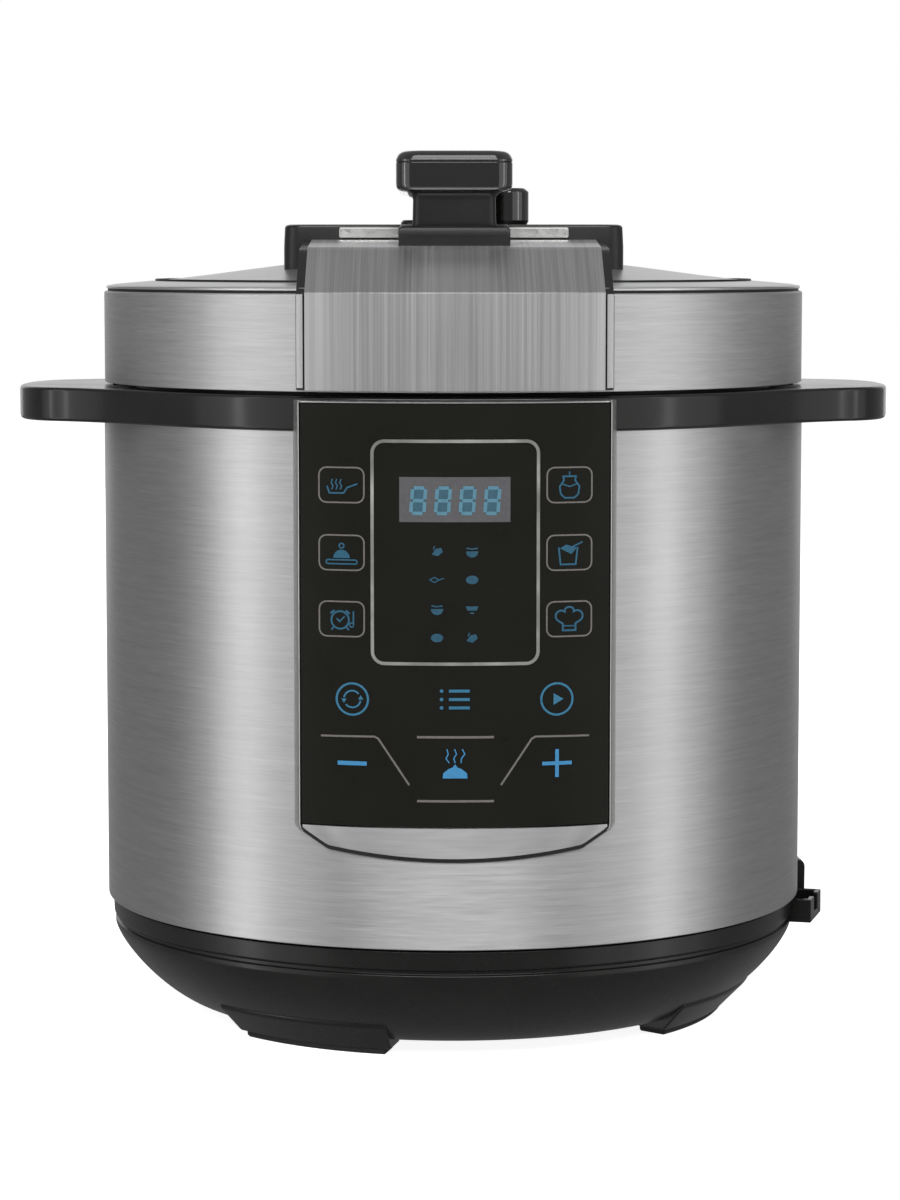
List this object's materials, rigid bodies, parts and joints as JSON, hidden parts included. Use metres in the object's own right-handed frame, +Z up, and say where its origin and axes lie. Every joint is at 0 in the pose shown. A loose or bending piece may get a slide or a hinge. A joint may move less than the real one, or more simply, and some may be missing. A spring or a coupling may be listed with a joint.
{
  "type": "electric pressure cooker",
  "caption": "Round electric pressure cooker with side handles, a tall curved touch panel, a bayonet lid with a bar handle, and a removable inner pot.",
  "frame": {"origin": "middle of the footprint on the surface the cooker stands on", "axes": "+X to the right across the side handles, +Y to the back, +Z up; the control panel faces -Y. The cooking axis stands 11.75 mm in front of the origin"},
  "size_m": [0.336, 0.3026, 0.331],
  "materials": {
    "skin_steel": "horizontally brushed stainless steel, satin",
    "lid_steel": "spun and brushed stainless steel, satin",
    "fascia_steel": "vertically brushed stainless steel, satin",
    "plain_steel": "plain stainless steel, satin",
    "cast_alloy": "die-cast aluminium, matt",
    "body_black": "black moulded plastic, fine satin grain",
    "gloss_black": "black moulded plastic, glossy",
    "panel_black": "printed black panel film, semi-gloss",
    "cheek_grey": "grey moulded plastic, satin",
    "silver_trim": "bright plated plastic trim",
    "inner_grey": "dark grey moulded plastic",
    "foot_rubber": "black rubber, matt",
    "seal_silicone": "translucent white silicone, matt",
    "cup_clear": "smoky translucent plastic",
    "board_green": "green circuit board",
    "pin_brass": "plain brass, nickel flashed"
  },
  "bodies": {
    "root": {"base_shell": "body_black", "foot_pad_1": "foot_rubber", "foot_pad_2": "foot_rubber", "foot_pad_3": "foot_rubber", "foot_pad_4": "foot_rubber", "support_leg_1": "plain_steel", "support_leg_2": "plain_steel", "support_leg_3": "plain_steel", "base_screw_1": "plain_steel", "base_screw_2": "plain_steel", "base_screw_3": "plain_steel", "power_inlet": "body_black", "inlet_pin_line": "pin_brass", "inlet_pin_earth": "pin_brass", "inlet_pin_neutral": "pin_brass", "outer_shell": "skin_steel", "collar": "body_black", "inner_housing": "plain_steel", "heating_plate": "cast_alloy", "sensor_spring": "plain_steel", "sensor_bracket": "plain_steel", "thermostat": "pin_brass", "thermal_fuse": "seal_silicone", "pressure_switch": "inner_grey", "pressure_leaf": "plain_steel", "power_board": "board_green", "power_relay": "inner_grey", "panel_housing": "body_black", "panel_frame": "silver_trim", "panel_glass": "panel_black", "panel_chin": "fascia_steel", "control_board": "board_green", "display_module": "inner_grey", "cup_bracket": "body_black"},
    "inner_pot": {"inner_pot": "plain_steel"},
    "sensor": {"sensor_cap": "cast_alloy"},
    "condensate_cup": {"condensate_cup": "cup_clear"},
    "inner_cover": {"inner_cover": "plain_steel", "sealing_ring": "seal_silicone"},
    "lid": {"lid_dome": "lid_steel", "lid_frame": "body_black", "lid_top_ring": "lid_steel", "lid_skirt": "skin_steel", "nose_housing": "cheek_grey", "fascia_plate": "fascia_steel", "bridge_cover": "body_black", "trim_strip": "silver_trim", "lid_handle": "gloss_black", "handle_cap": "gloss_black", "handle_screw_1": "plain_steel", "handle_screw_2": "plain_steel", "vent_pipe": "plain_steel", "vent_nut": "plain_steel", "vent_filter": "plain_steel", "float_guide": "body_black", "centre_post": "plain_steel", "cover_nut": "plain_steel"},
    "pressure_valve": {"pressure_valve": "gloss_black"},
    "float_valve": {"float_valve": "plain_steel", "float_gasket": "seal_silicone"}
  },
  "joints": [
    {"name": "lid_lift", "type": "slide", "parent": "root", "child": "inner_cover", "axis": [0, 0, 1], "range_m": [0, 0.2]},
    {"name": "lid_turn", "type": "hinge", "parent": "inner_cover", "child": "lid", "pos_m": [0, -0.01175, 0.27], "axis": [0, 0, 1], "range_deg": [0, 30]},
    {"name": "valve_turn", "type": "hinge", "parent": "lid", "child": "pressure_valve", "pos_m": [0.0205, 0.03025, 0.31], "axis": [0, 0, 1], "range_deg": [-40, 40]},
    {"name": "float_rise", "type": "slide", "parent": "lid", "child": "float_valve", "axis": [0, 0, 1], "range_m": [0, 0.0055]},
    {"name": "sensor_press", "type": "slide", "parent": "root", "child": "sensor", "axis": [0, 0, 1], "range_m": [-0.002, 0], "stiffness_N_per_m": 300, "springref_m": 0.001, "deforming": ["sensor_spring"]},
    {"name": "pot_turn", "type": "hinge", "parent": "root", "child": "inner_pot", "pos_m": [0, -0.01175, 0.09], "axis": [0, 0, 1], "continuous": true},
    {"name": "cup_slide", "type": "slide", "parent": "root", "child": "condensate_cup", "axis": [0, 1, 0], "range_m": [0, 0.04]}
  ]
}
